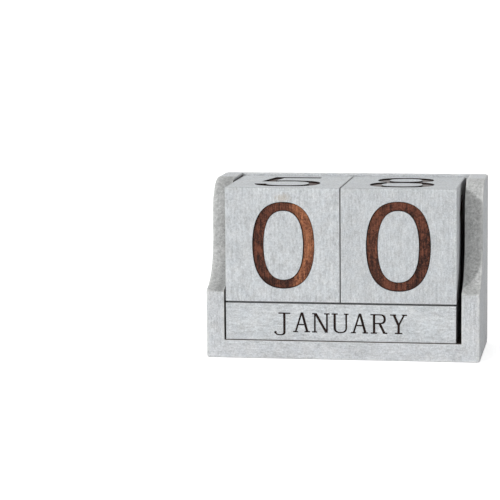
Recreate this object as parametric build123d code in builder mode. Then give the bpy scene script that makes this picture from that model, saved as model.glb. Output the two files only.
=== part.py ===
"""Perpetual desk calendar: a painted wooden tray that holds two date cubes on three month bars.

Units are millimetres. The origin is on the desk, under the middle of the tray. +X runs to the
reader's right, +Y to the back of the tray and +Z up, so the date faces -Y.
"""

import os

from build123d import *

# ---------------------------------------------------------------------------------------------
# Driving dimensions
# ---------------------------------------------------------------------------------------------

# Date cubes and month bars
cube = 55.0  # edge of a date cube
piece_round = 0.3  # rounding on the edges of cubes and bars
bar_play = 0.2  # how much shallower three bars are than a cube, beside their gaps
bar_gap = 0.1  # gap between two neighbouring bars
bar_shortfall = 0.2  # how much shorter a bar is than the two cubes above it

# Room in the tray
left_gap = 0.5  # left side to the tens cube
cube_gap = 0.2  # between the cubes
right_gap = 2.2  # units cube to the right side
front_setback = 0.8  # cube fronts behind the front edge of the tray
rear_clearance = 0.2  # cube backs to the back panel

# Tray
board = 8.8  # thickness of the base and of both sides
back_thickness = 3.0  # thickness of the back panel
back_lift = 0.3  # lower edge of the back panel above the desk, so that the base alone bears
rim_rise = 1.4  # rim of the tray above the cube tops
step_rise = 5.8  # low front of the sides above the tops of the bars
recess = 19.5  # how far the cove cuts back into a side
cove_radius = 23.5  # hollow curve above the low front
crown_radius = 15.5  # round curve below the rim
outer_round = 1.0  # rounding on the outer edges of the tray
arris_round = 0.5  # rounding on the shaped front edges of the sides

# Numerals cut into the cubes
digit_width = 29.8
digit_height = 41.5
stem = 5.5  # stroke width of the upright strokes
hair = 4.3  # stroke width of the level strokes
units_enlarged = 1.03  # how much larger the numerals of the units cube are cut
numeral_aside = 0.45  # how far right of the middle the numerals of the tens cube stand
squareness = 0.66  # handle length of the bowls, 0.55 would be an ellipse
engrave_depth = 0.8

# Month names cut into the bars, in slab-serif capitals that all take the same room
letter_height = 9.4
letter_width = 8.1
letter_pitch = 9.25  # middle to middle
letter_stem = 1.15  # stroke width of the heavy strokes
letter_thin = 0.84  # stroke width of the lighter upright and slanting strokes
letter_hair = 0.63  # stroke width of serifs and level strokes
letter_depth = 0.5
name_drop = 0.35  # how far a name sits below the middle of its face

# Pin nails
nail_radius = 0.6
nail_head_radius = 1.1
nail_head_height = 0.7
nail_sink = 0.3  # nail heads below the surface of the wood
corner_nail_length = 16.0
back_nail_length = 15.0
corner_nail_spacing = 30.0  # between the two nails of a mitre
side_nail_inset = 18.0  # top and bottom back nails from the ends of a side
base_nail_spacing = 60.0  # between the back nails in the base

# ---------------------------------------------------------------------------------------------
# Sizes that follow
# ---------------------------------------------------------------------------------------------

bar_side = (cube - bar_play - 2 * bar_gap) / 3
bar_length = 2 * cube + cube_gap - bar_shortfall
tray_width = left_gap + 2 * cube + cube_gap + right_gap
tray_depth = front_setback + cube + rear_clearance

frame_width = tray_width + 2 * board
frame_depth = tray_depth + back_thickness
frame_height = board + bar_side + cube + rim_rise

left_x = -frame_width / 2
front_y = -frame_depth / 2
panel_y = front_y + tray_depth  # front of the back panel
cube_bottom = board + bar_side
step_height = cube_bottom + step_rise
cube_front = front_y + front_setback

tens_x = left_x + board + left_gap + cube / 2
units_x = tens_x + cube + cube_gap
cube_y = cube_front + cube / 2
cube_z = cube_bottom + cube / 2
bar_x = left_x + board + left_gap + bar_length / 2


# ---------------------------------------------------------------------------------------------
# Numerals
# ---------------------------------------------------------------------------------------------

# Each numeral is drawn in a box that runs from (-1, -1) to (1, 1), in shares of half its width
# and half its height. Stroke widths stay in millimetres.
half_w = digit_width / 2
half_h = digit_height / 2


def oval(middle, width, height, inset_x=0.0, inset_y=0.0, aside=0.0, mode=Mode.ADD):
    """Fill a squarish oval centred at the given shares of the size, less the insets."""
    x = width * half_w - inset_x
    y = height * half_h - inset_y
    centre = Vector(aside * half_w, middle * half_h)
    with BuildLine() as outline:
        for side, end in ((1, 1), (-1, 1), (-1, -1), (1, -1)):
            Bezier(
                centre + Vector(side * x, 0),
                centre + Vector(side * x, end * squareness * y),
                centre + Vector(side * squareness * x, end * y),
                centre + Vector(0, end * y),
            )
    make_face(outline.edges(), mode=mode)


def ring(middle, width, height, aside=0.0):
    """One closed round stroke."""
    oval(middle, width, height, aside=aside)
    oval(middle, width, height, stem, hair, aside, mode=Mode.SUBTRACT)


def shape(points, mode=Mode.ADD):
    """Fill a polygon whose corners are in millimetres."""
    with BuildLine() as outline:
        Polyline(*points, close=True)
    make_face(outline.edges(), mode=mode)


def block(x0, y0, x1, y1, mode=Mode.ADD):
    """Fill an upright rectangle between two corners in millimetres."""
    shape([(x0, y0), (x1, y0), (x1, y1), (x0, y1)], mode=mode)


def draw_0():
    ring(0, 1, 1)


def draw_1():
    left = 0.04 * half_w
    block(left, -half_h, left + stem, half_h)
    flag = -0.56 * half_w
    shape([(left + stem, half_h), (0.12 * half_w, half_h), (flag, 0.66 * half_h),
           (flag, 0.66 * half_h - 1.2 * hair), (left, 0.7 * half_h)])


def draw_2():
    waist = 0.42
    ring(waist, 0.95, 1 - waist)
    block(-half_w, -half_h, half_w, waist * half_h, mode=Mode.SUBTRACT)
    outer = 0.95 * half_w
    foot = -half_h + hair
    start = waist * half_h
    with BuildLine() as sweep:
        Bezier((outer, start), (outer, 0.03 * half_h), (0.3 * half_w, -0.3 * half_h),
               (-0.5 * half_w, foot))
        Line((-0.5 * half_w, foot), (-0.96 * half_w, foot - 0.3 * hair))
        Bezier((-0.96 * half_w, foot - 0.3 * hair), (-0.1 * half_w, -0.26 * half_h),
               (outer - stem, 0.1 * half_h), (outer - stem, start))
        Line((outer - stem, start), (outer, start))
    make_face(sweep.edges())
    block(-0.96 * half_w, -half_h, 0.96 * half_w, foot)


def draw_3():
    upper = 0.48
    lower = -0.43
    oval(upper, 0.88, 1 - upper)
    oval(lower, 0.98, 1 + lower)
    oval(upper, 0.88, 1 - upper, stem, hair, mode=Mode.SUBTRACT)
    oval(lower, 0.98, 1 + lower, stem, hair, mode=Mode.SUBTRACT)
    block(-half_w, -0.6 * half_h, -0.34 * half_w, 0.63 * half_h, mode=Mode.SUBTRACT)


def draw_4():
    bar_top = -0.34 * half_h
    right = 0.58 * half_w
    shape([(right, half_h), (0.14 * half_w, half_h), (-half_w, bar_top + 0.3 * hair),
           (-half_w, bar_top - hair), (half_w, bar_top - hair), (half_w, bar_top),
           (right, bar_top)])
    shape([(right - stem, 0.7 * half_h), (right - stem, bar_top), (-0.68 * half_w, bar_top)],
          mode=Mode.SUBTRACT)
    block(right - stem, -half_h, right, bar_top)


def draw_5():
    bowl = -0.36
    top_left = -0.7 * half_w
    foot = -0.98 * half_w
    left = -1.2 * half_w
    ring(bowl, 1.06, 1 + bowl, -0.05)
    block(left, -0.46 * half_h, -0.45 * half_w, 0.0, mode=Mode.SUBTRACT)
    block(left, 0.0, foot, 0.3 * half_h, mode=Mode.SUBTRACT)
    shape([(top_left, half_h), (top_left + stem, half_h), (foot + stem, 0.0), (foot, 0.0)])
    block(top_left, half_h - hair, 0.82 * half_w, half_h)


def draw_6():
    bowl = -0.38
    ring(0, 1, 1)
    block(-half_w, -half_h, half_w, bowl * half_h, mode=Mode.SUBTRACT)
    block(0, -half_h, half_w, 0.62 * half_h, mode=Mode.SUBTRACT)
    ring(bowl, 1, 1 + bowl)


def draw_7():
    block(-0.96 * half_w, half_h - hair, 0.96 * half_w, half_h)
    right = 0.96 * half_w
    under = half_h - hair
    shape([(right, under), (right - stem, under), (-0.42 * half_w, -half_h),
           (-0.42 * half_w + stem, -half_h)])


def draw_8():
    upper = 0.49
    lower = -0.44
    oval(upper, 0.88, 1 - upper)
    oval(lower, 1, 1 + lower)
    oval(upper, 0.88, 1 - upper, stem, hair, mode=Mode.SUBTRACT)
    oval(lower, 1, 1 + lower, stem, hair, mode=Mode.SUBTRACT)


def numeral(draw, plane, enlarged=1.0):
    """One numeral on the given plane, as a sketch to cut with."""
    with BuildSketch(plane) as face:
        draw()
        scale(by=enlarged)
    return face.sketch


def cube_faces(centre_x, aside):
    """Planes of a cube's six faces, each with its own upright direction.

    They come in the order front, right, back, left, top and bottom, and stand to the side of
    the middle by the given distance.
    """
    centre = Vector(centre_x, cube_y, cube_z)
    directions = (
        ((0, -1, 0), (1, 0, 0)),
        ((1, 0, 0), (0, 1, 0)),
        ((0, 1, 0), (-1, 0, 0)),
        ((-1, 0, 0), (0, -1, 0)),
        ((0, 0, 1), (1, 0, 0)),
        ((0, 0, -1), (1, 0, 0)),
    )
    return [
        Plane(
            origin=centre + Vector(*normal) * (cube / 2) + Vector(*reading) * aside,
            x_dir=reading,
            z_dir=normal,
        )
        for normal, reading in directions
    ]


# ---------------------------------------------------------------------------------------------
# Capitals
# ---------------------------------------------------------------------------------------------

# Each capital is drawn with x from -1 to 1 across its width and y from 0 at its foot to 1 at its
# head. Stroke widths stay in millimetres, and the capital is centred on the sketch's origin.


def pen(x, y):
    """A point of a capital in millimetres."""
    return Vector(x * letter_width / 2, (y - 0.5) * letter_height)


def stroke(start, end, width=letter_stem):
    """A straight stroke between two points, with square ends."""
    first, last = pen(*start), pen(*end)
    across = (last - first).normalized().rotate(Axis.Z, 90) * (width / 2)
    shape([first + across, last + across, last - across, first - across])


def slant(foot, head, width=letter_stem):
    """A slanting stroke whose ends are level, from its foot to its head."""
    low, high = pen(*foot), pen(*head)
    across = Vector(width * (high - low).length / abs(high.Y - low.Y) / 2, 0)
    shape([low - across, low + across, high + across, high - across])


def upright(x, foot=0.0, head=1.0, width=letter_stem):
    """A vertical stroke."""
    stroke((x, foot), (x, head), width)


def level(left, right, y):
    """A horizontal stroke that stays between the foot line and the head line."""
    rise = letter_hair / letter_height
    middle = min(max(y, rise / 2), 1 - rise / 2)
    stroke((left, middle), (right, middle), letter_hair)


def serif(x, y, left=0.35, right=0.35):
    """A slab across the end of an upright stroke."""
    level(x - left, x + right, y)


def tick(x, y, reach):
    """A short vertical slab at the end of a level stroke, up or down by the reach."""
    upright(x, y, y + reach, letter_hair)


def bend(x, y, width, height, quarters, weight=letter_stem):
    """Quarters of a round stroke: 1 is upper right, 2 upper left, 3 lower left, 4 lower right.

    The middle, width and height are those of the stroke's outer edge.
    """
    corner = {1: (1, 1), 2: (-1, 1), 3: (-1, -1), 4: (1, -1)}
    centre = pen(x, y)
    reach_x = width * letter_width / 2
    reach_y = height * letter_height
    for quarter in quarters:
        side, end = corner[quarter]
        inner_x = reach_x - weight
        inner_y = reach_y - letter_hair
        with BuildLine() as outline:
            for out_x, out_y in ((reach_x, reach_y), (inner_x, inner_y)):
                Bezier(
                    centre + Vector(side * out_x, 0),
                    centre + Vector(side * out_x, end * squareness * out_y),
                    centre + Vector(side * squareness * out_x, end * out_y),
                    centre + Vector(0, end * out_y),
                )
            Line(centre + Vector(side * reach_x, 0), centre + Vector(side * inner_x, 0))
            Line(centre + Vector(0, end * reach_y), centre + Vector(0, end * inner_y))
        make_face(outline.edges())


def bowl(stem_x, foot, head, right):
    """A round stroke that leaves a stem at the foot and comes back to it at the head."""
    turn = (stem_x + right) / 2
    level(stem_x, turn, foot + letter_hair / letter_height / 2)
    level(stem_x, turn, head - letter_hair / letter_height / 2)
    bend(turn, (foot + head) / 2, right - turn, (head - foot) / 2, (1, 4))


def open_round(gap_foot, gap_head):
    """A round letter that is open at the right between two heights, as in C and G."""
    bend(0, 0.5, 0.9, 0.5, (1, 2, 3, 4))
    right = pen(1.1, gap_head)
    left = pen(0.3, gap_foot)
    block(left.X, left.Y, right.X, right.Y, mode=Mode.SUBTRACT)


def letter_a():
    slant((-0.72, 0), (0.02, 1.02), letter_thin)
    slant((0.7, 0), (0.06, 1.02))
    level(-0.42, 0.46, 0.4)
    serif(-0.72, 0, 0.29, 0.29)
    serif(0.68, 0, 0.33, 0.33)


def letter_b():
    upright(-0.6)
    bowl(-0.6, 0.47, 1, 0.66)
    bowl(-0.6, 0, 0.53, 0.8)
    serif(-0.6, 1, 0.35, 0)
    serif(-0.6, 0, 0.35, 0)


def letter_c():
    open_round(0.3, 0.7)
    tick(0.76, 1, -0.34)


def letter_d():
    upright(-0.6)
    bowl(-0.6, 0, 1, 0.85)
    serif(-0.6, 1, 0.3, 0)
    serif(-0.6, 0, 0.3, 0)


def letter_e():
    letter_f()
    level(-0.55, 0.75, 0)
    tick(0.72, 0, 0.22)


def letter_f():
    upright(-0.55)
    level(-0.55, 0.7, 1)
    level(-0.55, 0.2, 0.5)
    tick(0.67, 1, -0.2)
    tick(0.2, 0.42, 0.16)
    serif(-0.55, 1, 0.35, 0)
    serif(-0.55, 0)


def letter_g():
    open_round(0.42, 0.7)
    tick(0.76, 1, -0.34)
    upright(0.72, 0, 0.42)
    serif(0.72, 0.42, 0.35, 0.25)


def letter_h():
    for x in (-0.62, 0.62):
        upright(x)
        serif(x, 0)
        serif(x, 1)
    level(-0.62, 0.62, 0.5)


def letter_i():
    upright(0)
    serif(0, 0, 0.5, 0.5)
    serif(0, 1, 0.5, 0.5)


def letter_j():
    stem_x, middle = 0.25, -0.25
    reach = stem_x + letter_stem / letter_width - middle
    upright(stem_x)
    serif(stem_x, 1, 0.71, 0.71)
    bend(middle, 0, reach, 0.18, (4,))
    bend(middle, 0, reach, 0.18, (3,), letter_hair)
    ball = pen(middle - reach, -0.02) + Vector(letter_hair / 2, 0)
    with Locations((ball.X, ball.Y)):
        Circle(letter_hair)


def letter_l():
    upright(-0.45)
    serif(-0.45, 1)
    level(-0.8, 0.75, 0)
    tick(0.72, 0, 0.24)


def letter_m():
    upright(-0.72, width=letter_thin)
    upright(0.72)
    slant((0, 0.25), (-0.7, 1))
    slant((0, 0.25), (0.7, 1), letter_thin)
    serif(-0.72, 1, 0.25, 0.1)
    serif(0.72, 1, 0.1, 0.25)
    serif(-0.72, 0, 0.28, 0.28)
    serif(0.72, 0, 0.28, 0.28)


def letter_n():
    upright(-0.7, width=letter_thin)
    upright(0.73, width=letter_thin)
    slant((0.68, 0), (-0.64, 1))
    serif(-0.7, 1, 0.33, 0.05)
    serif(0.73, 1, 0.34, 0.32)
    serif(-0.7, 0, 0.33, 0.27)


def letter_o():
    bend(0, 0.5, 0.9, 0.5, (1, 2, 3, 4))


def letter_p():
    upright(-0.57)
    bowl(-0.57, 0.49, 1, 0.82)
    serif(-0.57, 1, 0.42, 0)
    serif(-0.57, 0, 0.4, 0.35)


def letter_r():
    letter_p()
    slant((0.66, 0), (0.08, 0.52))
    serif(0.66, 0, 0.05, 0.33)


def letter_s():
    bend(0, 0.75, 0.72, 0.25, (1, 2, 3))
    bend(0, 0.25 + letter_hair / letter_height / 2, 0.8, 0.25 + letter_hair / letter_height / 2,
         (1, 3, 4))
    tick(0.66, 1, -0.3)
    tick(-0.74, 0, 0.3)


def letter_t():
    upright(0)
    level(-0.8, 0.8, 1)
    tick(-0.76, 1, -0.24)
    tick(0.76, 1, -0.24)
    serif(0, 0, 0.42, 0.42)


def letter_u():
    left, right = -0.64, 0.72
    half_stem, half_thin = letter_stem / letter_width, letter_thin / letter_width
    middle = (left - half_stem + right + half_thin) / 2
    reach = right + half_thin - middle
    upright(left, 0.27, 1)
    upright(right, 0.27, 1, letter_thin)
    bend(middle, 0.27, reach, 0.28, (3,))
    bend(middle, 0.27, reach, 0.28, (4,), letter_thin)
    serif(left, 1, 0.36, 0.37)
    serif(right, 1, 0.28, 0.28)


def letter_v():
    slant((0, 0), (-0.7, 1))
    slant((0.03, 0), (0.7, 1), letter_thin)
    serif(-0.7, 1, 0.35, 0.35)
    serif(0.7, 1, 0.3, 0.3)


def letter_y():
    slant((0.02, 0.44), (-0.57, 1))
    slant((0.02, 0.44), (0.7, 1), letter_thin)
    upright(0.02, 0, 0.5)
    serif(-0.6, 1, 0.38, 0.34)
    serif(0.7, 1, 0.31, 0.31)
    serif(0.02, 0, 0.45, 0.45)


draw_letter = {
    "A": letter_a, "B": letter_b, "C": letter_c, "D": letter_d, "E": letter_e, "F": letter_f,
    "G": letter_g, "H": letter_h, "I": letter_i, "J": letter_j, "L": letter_l, "M": letter_m,
    "N": letter_n, "O": letter_o, "P": letter_p, "R": letter_r, "S": letter_s, "T": letter_t,
    "U": letter_u, "V": letter_v, "Y": letter_y,
}
capitals = {}
for letter, draw in draw_letter.items():
    with BuildSketch() as capital:
        draw()
    capitals[letter] = capital.sketch


def month_name(name, plane):
    """A month's name in the middle of the given plane, as a sketch to cut with."""
    with BuildSketch(plane) as row:
        for place, letter in enumerate(name):
            with Locations(((place - (len(name) - 1) / 2) * letter_pitch, -name_drop)):
                add(capitals[letter])
    return row.sketch


# ---------------------------------------------------------------------------------------------
# Pin nails, and the holes that they leave
# ---------------------------------------------------------------------------------------------

# Each location has its +Z out of the wood, at the surface that the nail goes in through.
corner_nails = [
    Location(Plane(origin=(side * frame_width / 2, y, board / 2), z_dir=(side, 0, 0)))
    for side in (-1, 1)
    for y in (-corner_nail_spacing / 2, corner_nail_spacing / 2)
]
side_nail_levels = (side_nail_inset, frame_height / 2, frame_height - side_nail_inset)
back_nails = [
    Location(Plane(origin=(side * (frame_width - board) / 2, frame_depth / 2, z), z_dir=(0, 1, 0)))
    for side in (-1, 1)
    for z in side_nail_levels
] + [
    Location(Plane(origin=(x, frame_depth / 2, board / 2), z_dir=(0, 1, 0)))
    for x in (-base_nail_spacing / 2, base_nail_spacing / 2)
]
hang_down = (Align.CENTER, Align.CENTER, Align.MAX)
stand_up = (Align.CENTER, Align.CENTER, Align.MIN)


def nail(length):
    """A round nail with a flat head, sunk below the surface at the active locations."""
    with Locations((0, 0, -nail_sink)):
        Cylinder(nail_head_radius, nail_head_height, align=hang_down)
        Cylinder(nail_radius, length - nail_sink, align=hang_down)


def dimple():
    """The open mouth of a nail hole, above the sunk head."""
    with Locations((0, 0, -nail_sink)):
        Cylinder(nail_head_radius, 2 * nail_sink, align=stand_up)


with BuildPart() as corner_brads:
    with Locations(*corner_nails):
        nail(corner_nail_length)
corner_brads.part.label = "corner_brads"

with BuildPart() as back_brads:
    with Locations(*back_nails):
        nail(back_nail_length)
back_brads.part.label = "back_brads"

with BuildPart() as nail_holes:
    add(corner_brads.part)
    add(back_brads.part)
    with Locations(*corner_nails, *back_nails):
        dimple()

# ---------------------------------------------------------------------------------------------
# Tray
# ---------------------------------------------------------------------------------------------

# The outer edges of the whole tray are rounded together, as if its boards were joined first.
with BuildPart() as tray_outline:
    Box(frame_width, frame_depth, frame_height, align=stand_up)
    fillet(tray_outline.edges(), radius=outer_round)

# The sides and the base meet in mitres, from the lower outer edge to the tray's inner corner.
left_mitre = Plane(origin=(left_x, 0, 0), z_dir=(-1, 0, 1))
right_mitre = Plane(origin=(-left_x, 0, 0), z_dir=(1, 0, 1))

# Front edge of a side: low and upright, then a cove, a short upright and the crown.
cove_top = step_height + (cove_radius**2 - (cove_radius - recess) ** 2) ** 0.5
crown_bottom = frame_height - crown_radius
recess_y = front_y + recess
crown_y = recess_y + crown_radius

with BuildPart() as left_side:
    with BuildSketch(Plane.YZ.offset(left_x)):
        with BuildLine():
            Polyline((crown_y, frame_height), (panel_y, frame_height), (panel_y, 0), (front_y, 0),
                     (front_y, step_height))
            TangentArc((recess_y, cove_top), (front_y, step_height), tangent=(0, -1))
            Line((recess_y, cove_top), (recess_y, crown_bottom))
            TangentArc((recess_y, crown_bottom), (crown_y, frame_height), tangent=(0, 1))
        make_face()
    extrude(amount=board)
    back_or_bottom = left_side.faces().filter_by(Axis.Y).sort_by(Axis.Y)[-1].edges()
    back_or_bottom += left_side.faces().sort_by(Axis.Z)[0].edges()
    shaped = [edge for edge in left_side.edges() if edge not in back_or_bottom]
    fillet(shaped, radius=arris_round)
    split(bisect_by=left_mitre, keep=Keep.TOP)
    add(tray_outline.part, mode=Mode.INTERSECT)
    add(nail_holes.part, mode=Mode.SUBTRACT)
left_side.part.label = "left_side"

with BuildPart() as right_side:
    mirror(left_side.part, about=Plane.YZ)
right_side.part.label = "right_side"

with BuildPart() as base_board:
    with Locations((0, front_y, 0)):
        Box(frame_width, tray_depth, board, align=(Align.CENTER, Align.MIN, Align.MIN))
    split(bisect_by=left_mitre, keep=Keep.BOTTOM)
    split(bisect_by=right_mitre, keep=Keep.BOTTOM)
    add(tray_outline.part, mode=Mode.INTERSECT)
    add(nail_holes.part, mode=Mode.SUBTRACT)
base_board.part.label = "base_board"

with BuildPart() as back_panel:
    with Locations((0, panel_y, back_lift)):
        Box(frame_width, back_thickness, frame_height - back_lift,
            align=(Align.CENTER, Align.MIN, Align.MIN))
    add(tray_outline.part, mode=Mode.INTERSECT)
    add(nail_holes.part, mode=Mode.SUBTRACT)
back_panel.part.label = "back_panel"

# ---------------------------------------------------------------------------------------------
# Date cubes: between them they show every date from 01 to 31, and a 6 turned over serves as a 9
# ---------------------------------------------------------------------------------------------

with BuildPart() as tens_cube:
    with Locations((tens_x, cube_y, cube_z)):
        Box(cube, cube, cube)
    fillet(tens_cube.edges(), radius=piece_round)
    tens_numerals = (draw_0, draw_1, draw_2, draw_3, draw_5, draw_4)
    for plane, draw in zip(cube_faces(tens_x, numeral_aside), tens_numerals):
        extrude(numeral(draw, plane), amount=-engrave_depth, mode=Mode.SUBTRACT)
tens_cube.part.label = "tens_cube"

with BuildPart() as units_cube:
    with Locations((units_x, cube_y, cube_z)):
        Box(cube, cube, cube)
    fillet(units_cube.edges(), radius=piece_round)
    units_numerals = (draw_0, draw_1, draw_2, draw_6, draw_8, draw_7)
    for plane, draw in zip(cube_faces(units_x, 0), units_numerals):
        enlarged = numeral(draw, plane, units_enlarged)
        extrude(enlarged, amount=-engrave_depth, mode=Mode.SUBTRACT)
units_cube.part.label = "units_cube"

# ---------------------------------------------------------------------------------------------
# Month bars: three, with a month on each of their four long faces
# ---------------------------------------------------------------------------------------------


def bar_centre(place):
    """Middle of the bar in the given place, counted from the front."""
    middle_y = cube_front + bar_side / 2 + place * (bar_side + bar_gap)
    return Vector(bar_x, middle_y, board + bar_side / 2)


def bar_faces(place):
    """Planes of a bar's long faces, in the order front, top, back and bottom.

    Every name reads along +X, so that rolling the bar forwards brings the next one to the front.
    """
    return [
        Plane(origin=bar_centre(place) + Vector(*out) * (bar_side / 2), x_dir=(1, 0, 0), z_dir=out)
        for out in ((0, -1, 0), (0, 0, 1), (0, 1, 0), (0, 0, -1))
    ]


with BuildPart() as month_bar_front:
    with Locations(bar_centre(0)):
        Box(bar_length, bar_side, bar_side)
    fillet(month_bar_front.edges(), radius=piece_round)
    for plane, name in zip(bar_faces(0), ("JANUARY", "FEBRUARY", "MARCH", "APRIL")):
        extrude(month_name(name, plane), amount=-letter_depth, mode=Mode.SUBTRACT)
month_bar_front.part.label = "month_bar_front"

with BuildPart() as month_bar_middle:
    with Locations(bar_centre(1)):
        Box(bar_length, bar_side, bar_side)
    fillet(month_bar_middle.edges(), radius=piece_round)
    for plane, name in zip(bar_faces(1), ("MAY", "JUNE", "JULY", "AUGUST")):
        extrude(month_name(name, plane), amount=-letter_depth, mode=Mode.SUBTRACT)
month_bar_middle.part.label = "month_bar_middle"

with BuildPart() as month_bar_back:
    with Locations(bar_centre(2)):
        Box(bar_length, bar_side, bar_side)
    fillet(month_bar_back.edges(), radius=piece_round)
    for plane, name in zip(bar_faces(2), ("SEPTEMBER", "OCTOBER", "NOVEMBER", "DECEMBER")):
        extrude(month_name(name, plane), amount=-letter_depth, mode=Mode.SUBTRACT)
month_bar_back.part.label = "month_bar_back"

# ---------------------------------------------------------------------------------------------
# One STEP file for each piece
# ---------------------------------------------------------------------------------------------

os.makedirs("parts", exist_ok=True)
export_step(base_board.part, "parts/base_board.step")
export_step(left_side.part, "parts/left_side.step")
export_step(right_side.part, "parts/right_side.step")
export_step(back_panel.part, "parts/back_panel.step")
export_step(corner_brads.part, "parts/corner_brads.step")
export_step(back_brads.part, "parts/back_brads.step")
export_step(tens_cube.part, "parts/tens_cube.step")
export_step(units_cube.part, "parts/units_cube.step")
export_step(month_bar_front.part, "parts/month_bar_front.step")
export_step(month_bar_middle.part, "parts/month_bar_middle.step")
export_step(month_bar_back.part, "parts/month_bar_back.step")
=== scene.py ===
"""Perpetual desk calendar in worn pale paint, with burnt numerals and month names.

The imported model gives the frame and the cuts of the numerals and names. The boards, cubes and bars
are made again here with softly worn edges, and each gets its own finish. Lengths are in metres, the
reader looks along +Y and the calendar stands on z = 0.
"""

import math

import bmesh
import bpy
from bpy.props import (
    FloatProperty,
    FloatVectorProperty,
    IntProperty,
    PointerProperty,
)
from mathutils import Matrix, Vector, noise


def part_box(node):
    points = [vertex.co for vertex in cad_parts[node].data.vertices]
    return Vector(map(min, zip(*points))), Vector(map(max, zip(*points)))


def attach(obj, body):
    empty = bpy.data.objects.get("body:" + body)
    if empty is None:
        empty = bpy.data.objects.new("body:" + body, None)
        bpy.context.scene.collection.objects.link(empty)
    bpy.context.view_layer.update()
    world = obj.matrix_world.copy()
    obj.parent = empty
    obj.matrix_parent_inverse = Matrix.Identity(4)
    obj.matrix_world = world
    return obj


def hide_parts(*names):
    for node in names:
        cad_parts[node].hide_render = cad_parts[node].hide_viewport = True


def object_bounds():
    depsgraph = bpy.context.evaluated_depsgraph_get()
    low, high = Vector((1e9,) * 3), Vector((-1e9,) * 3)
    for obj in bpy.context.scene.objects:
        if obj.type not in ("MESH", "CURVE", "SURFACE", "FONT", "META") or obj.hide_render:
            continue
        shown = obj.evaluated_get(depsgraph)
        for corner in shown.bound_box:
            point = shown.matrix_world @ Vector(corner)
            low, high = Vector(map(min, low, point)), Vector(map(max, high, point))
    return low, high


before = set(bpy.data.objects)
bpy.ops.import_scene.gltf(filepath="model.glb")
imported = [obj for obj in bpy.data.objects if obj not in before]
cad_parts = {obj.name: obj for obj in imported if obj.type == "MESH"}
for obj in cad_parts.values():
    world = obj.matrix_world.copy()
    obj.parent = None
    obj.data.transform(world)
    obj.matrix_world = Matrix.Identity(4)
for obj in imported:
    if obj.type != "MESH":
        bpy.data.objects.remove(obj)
CAD_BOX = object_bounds()

bl_info = {
    "name": "Desk Calendar",
    "version": (1, 0, 0),
    "blender": (4, 5, 0),
    "location": "View3D > Sidebar > Calendar",
    "description": "Makes a wooden desk calendar with date cubes and month bars",
    "category": "Add Mesh",
}

MM = 0.001
MERGE = 1e-6  # points of the model's meshes that are nearer than this are one
ON_PLANE = 1e-7  # points that are this near a cut lie on it


def srgb(red, green, blue):
    """A colour written in screen values from 0 to 255, as linear light."""
    return tuple(
        value / 255 / 12.92 if value / 255 <= 0.04045 else ((value / 255 + 0.055) / 1.055) ** 2.4
        for value in (red, green, blue)
    )


# ---------------------------------------------------------------------------------------------
# Settings
# ---------------------------------------------------------------------------------------------


class TraySettings(bpy.types.PropertyGroup):
    """The tray: two shaped sides and a base, joined in mitres, and a thin back panel."""

    step_height: FloatProperty(
        name="Step Height", description="Height of the low front of the sides",
        default=32.8 * MM, unit="LENGTH", precision=5)
    recess: FloatProperty(
        name="Recess", description="How far the cove cuts back into a side",
        default=19.5 * MM, unit="LENGTH", precision=5)
    cove_radius: FloatProperty(
        name="Cove Radius", description="Radius of the hollow above the low front",
        default=23.5 * MM, unit="LENGTH", precision=5)
    crown_radius: FloatProperty(
        name="Crown Radius", description="Radius of the round below the rim",
        default=15.5 * MM, unit="LENGTH", precision=5)
    corner_round: FloatProperty(
        name="Corner Round", description="Rounding of the corners of a board's outline",
        default=1.4 * MM, unit="LENGTH", precision=5)
    outer_round: FloatProperty(
        name="Outer Round", description="Rounding of the tray's outer edges",
        default=0.65 * MM, unit="LENGTH", precision=5)
    arris_round: FloatProperty(
        name="Arris Round", description="Rounding of the shaped front edges",
        default=0.5 * MM, unit="LENGTH", precision=5)
    seam_round: FloatProperty(
        name="Seam Round", description="Rounding where two boards meet",
        default=0.09 * MM, unit="LENGTH", precision=5)
    wear: FloatProperty(
        name="Wear", description="How unevenly the edges are rounded", default=0.35, min=0, max=1)
    paint: FloatVectorProperty(
        name="Paint", description="Colour of the tray's paint", subtype="COLOR", size=3,
        default=srgb(206, 208, 210))
    sawn: FloatVectorProperty(
        name="Sawn Face", description="Colour of the paint on the shaped, rougher edges",
        subtype="COLOR", size=3, default=srgb(190, 191, 190))
    # dark unpainted wood inside the tray, which also paints the deep shade of the gaps beside the
    # blocks
    bare_and_shade: FloatVectorProperty(
        name="Bare Wood", description="Colour of the dark wood inside the tray",
        subtype="COLOR", size=3, default=srgb(58, 48, 43))
    # the left side's shaped edge is painted darker than the right's, partly paint that the end grain
    # took unevenly and partly painted shade of the cube
    left_sawn_tone_and_shade: FloatProperty(
        name="Left Sawn Tone", description="Tone of the left side's shaped edge beside the right's",
        default=0.9, min=0, max=2)
    # painted shade: how much darker the left side's shaped edge is painted towards the cube,
    # standing in for the cube's shade
    painted_shade_by_cube: FloatProperty(
        name="Painted Shade By Cube", description="How much darker the left side's shaped edge is by the cube",
        default=0.34, min=0, max=1)


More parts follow.
